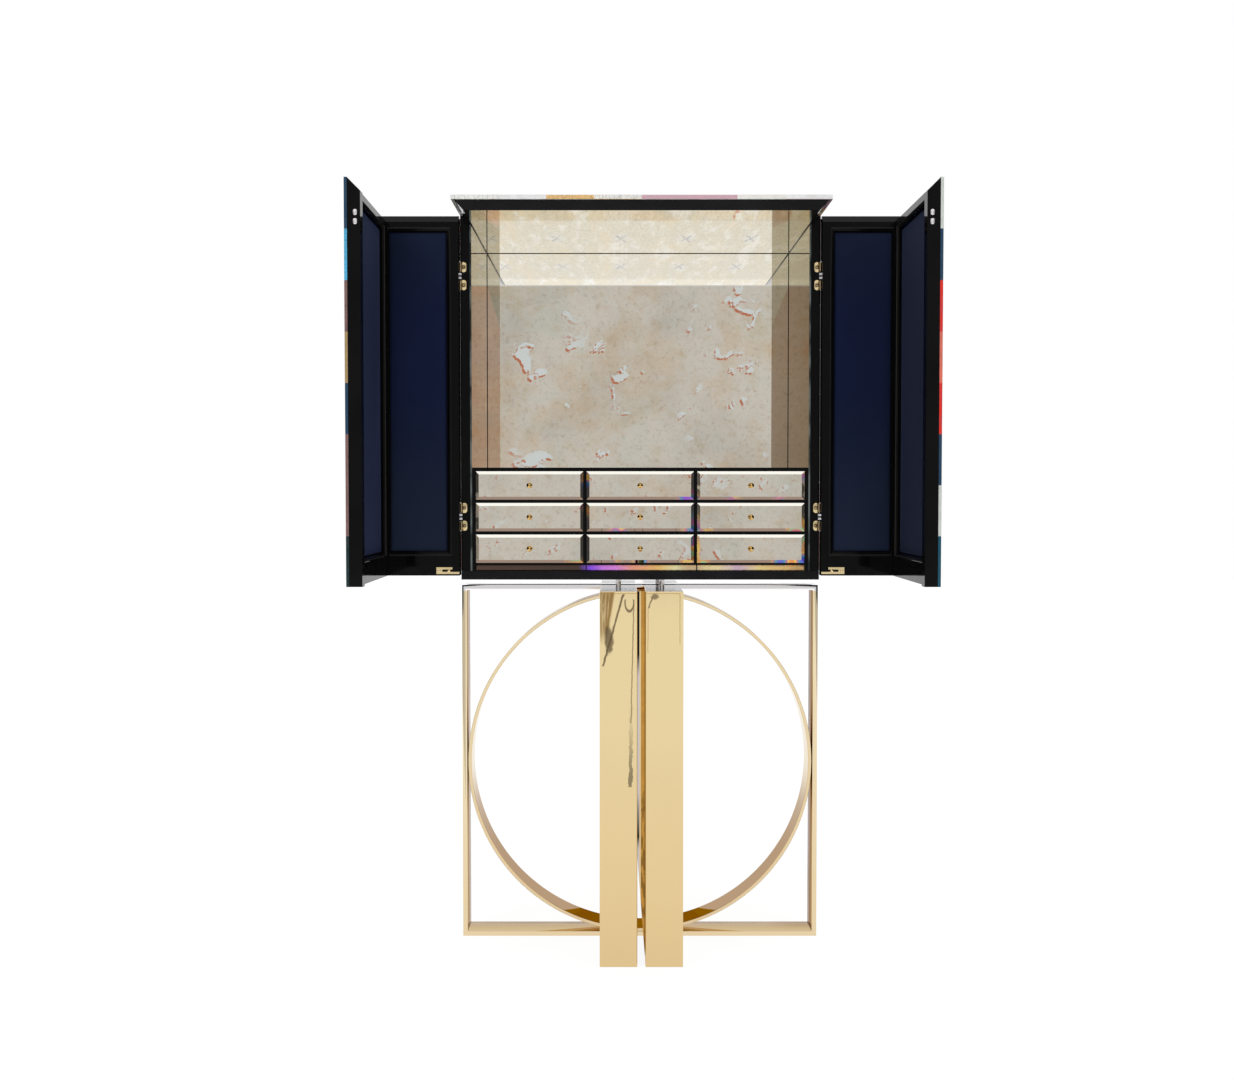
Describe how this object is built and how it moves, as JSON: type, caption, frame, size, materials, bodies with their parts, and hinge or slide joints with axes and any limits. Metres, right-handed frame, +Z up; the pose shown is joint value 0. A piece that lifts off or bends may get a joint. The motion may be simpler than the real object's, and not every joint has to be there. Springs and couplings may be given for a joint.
{
  "type": "wine cabinet",
  "caption": "Lacquered cabinet with L-shaped doors, mirrored interior and mirrored drawers, on a brass frame, ring and column stand.",
  "frame": {"origin": "on the floor, at the middle of the bounding box with both doors open at 90 degrees", "axes": "+Z up, +X to the viewer's right as one faces the cabinet, +Y towards the back"},
  "size_m": [1.25, 0.8586, 1.755],
  "materials": {
    "lacquer": "black gloss lacquer on board; the outer faces carry coloured lacquer tiles",
    "antique_mirror": "clouded mirror with a marble-like backing, bevelled on the drawers",
    "marble": "cream marble-look slab with grey veins, satin",
    "brass": "polished",
    "drawer_wood": "dark stained, matt",
    "velvet": "navy velvet over a thin pad"
  },
  "bodies": {
    "cabinet": {"back_board": "lacquer", "back_mirror": "antique_mirror", "base_frame": "brass", "base_ring": "brass", "bottom_board": "lacquer", "ceiling_slab": "marble", "column_left": "brass", "column_right": "brass", "drawer_case": "lacquer", "hinge_fixed_lower_left": "brass", "hinge_fixed_lower_right": "brass", "hinge_fixed_upper_left": "brass", "hinge_fixed_upper_right": "brass", "plinth_strip": "antique_mirror", "side_board_left": "lacquer", "side_board_right": "lacquer", "side_mirror_left": "antique_mirror", "side_mirror_right": "antique_mirror", "top_board": "lacquer"},
    "drawer_a1": {"drawer_a1_box": "drawer_wood", "drawer_a1_front": "antique_mirror", "drawer_a1_knob": "brass"},
    "drawer_a2": {"drawer_a2_box": "drawer_wood", "drawer_a2_front": "antique_mirror", "drawer_a2_knob": "brass"},
    "drawer_a3": {"drawer_a3_box": "drawer_wood", "drawer_a3_front": "antique_mirror", "drawer_a3_knob": "brass"},
    "drawer_b1": {"drawer_b1_box": "drawer_wood", "drawer_b1_front": "antique_mirror", "drawer_b1_knob": "brass"},
    "drawer_b2": {"drawer_b2_box": "drawer_wood", "drawer_b2_front": "antique_mirror", "drawer_b2_knob": "brass"},
    "drawer_b3": {"drawer_b3_box": "drawer_wood", "drawer_b3_front": "antique_mirror", "drawer_b3_knob": "brass"},
    "drawer_c1": {"drawer_c1_box": "drawer_wood", "drawer_c1_front": "antique_mirror", "drawer_c1_knob": "brass"},
    "drawer_c2": {"drawer_c2_box": "drawer_wood", "drawer_c2_front": "antique_mirror", "drawer_c2_knob": "brass"},
    "drawer_c3": {"drawer_c3_box": "drawer_wood", "drawer_c3_front": "antique_mirror", "drawer_c3_knob": "brass"},
    "door_left": {"return_panel_left": "lacquer", "front_panel_left": "lacquer", "return_pad_left": "velvet", "front_pad_left": "velvet", "door_stay_left": "brass", "hinge_moving_upper_left": "brass", "hinge_moving_lower_left": "brass"},
    "door_right": {"return_panel_right": "lacquer", "front_panel_right": "lacquer", "return_pad_right": "velvet", "front_pad_right": "velvet", "door_stay_right": "brass", "hinge_moving_upper_right": "brass", "hinge_moving_lower_right": "brass"}
  },
  "joints": [
    {"name": "left_door", "type": "hinge", "parent": "cabinet", "child": "door_left", "pos_m": [-0.43, -0.00075, 1.316], "axis": [0, 0, -1], "range_deg": [-90, 0]},
    {"name": "right_door", "type": "hinge", "parent": "cabinet", "child": "door_right", "pos_m": [0.43, -0.00075, 1.316], "axis": [0, 0, 1], "range_deg": [-90, 0]},
    {"name": "drawer_a1_slide", "type": "slide", "parent": "cabinet", "child": "drawer_a1", "axis": [0, -1, 0], "range_m": [0, 0.28]},
    {"name": "drawer_a2_slide", "type": "slide", "parent": "cabinet", "child": "drawer_a2", "axis": [0, -1, 0], "range_m": [0, 0.28]},
    {"name": "drawer_a3_slide", "type": "slide", "parent": "cabinet", "child": "drawer_a3", "axis": [0, -1, 0], "range_m": [0, 0.28]},
    {"name": "drawer_b1_slide", "type": "slide", "parent": "cabinet", "child": "drawer_b1", "axis": [0, -1, 0], "range_m": [0, 0.28]},
    {"name": "drawer_b2_slide", "type": "slide", "parent": "cabinet", "child": "drawer_b2", "axis": [0, -1, 0], "range_m": [0, 0.28]},
    {"name": "drawer_b3_slide", "type": "slide", "parent": "cabinet", "child": "drawer_b3", "axis": [0, -1, 0], "range_m": [0, 0.28]},
    {"name": "drawer_c1_slide", "type": "slide", "parent": "cabinet", "child": "drawer_c1", "axis": [0, -1, 0], "range_m": [0, 0.28]},
    {"name": "drawer_c2_slide", "type": "slide", "parent": "cabinet", "child": "drawer_c2", "axis": [0, -1, 0], "range_m": [0, 0.28]},
    {"name": "drawer_c3_slide", "type": "slide", "parent": "cabinet", "child": "drawer_c3", "axis": [0, -1, 0], "range_m": [0, 0.28]}
  ]
}
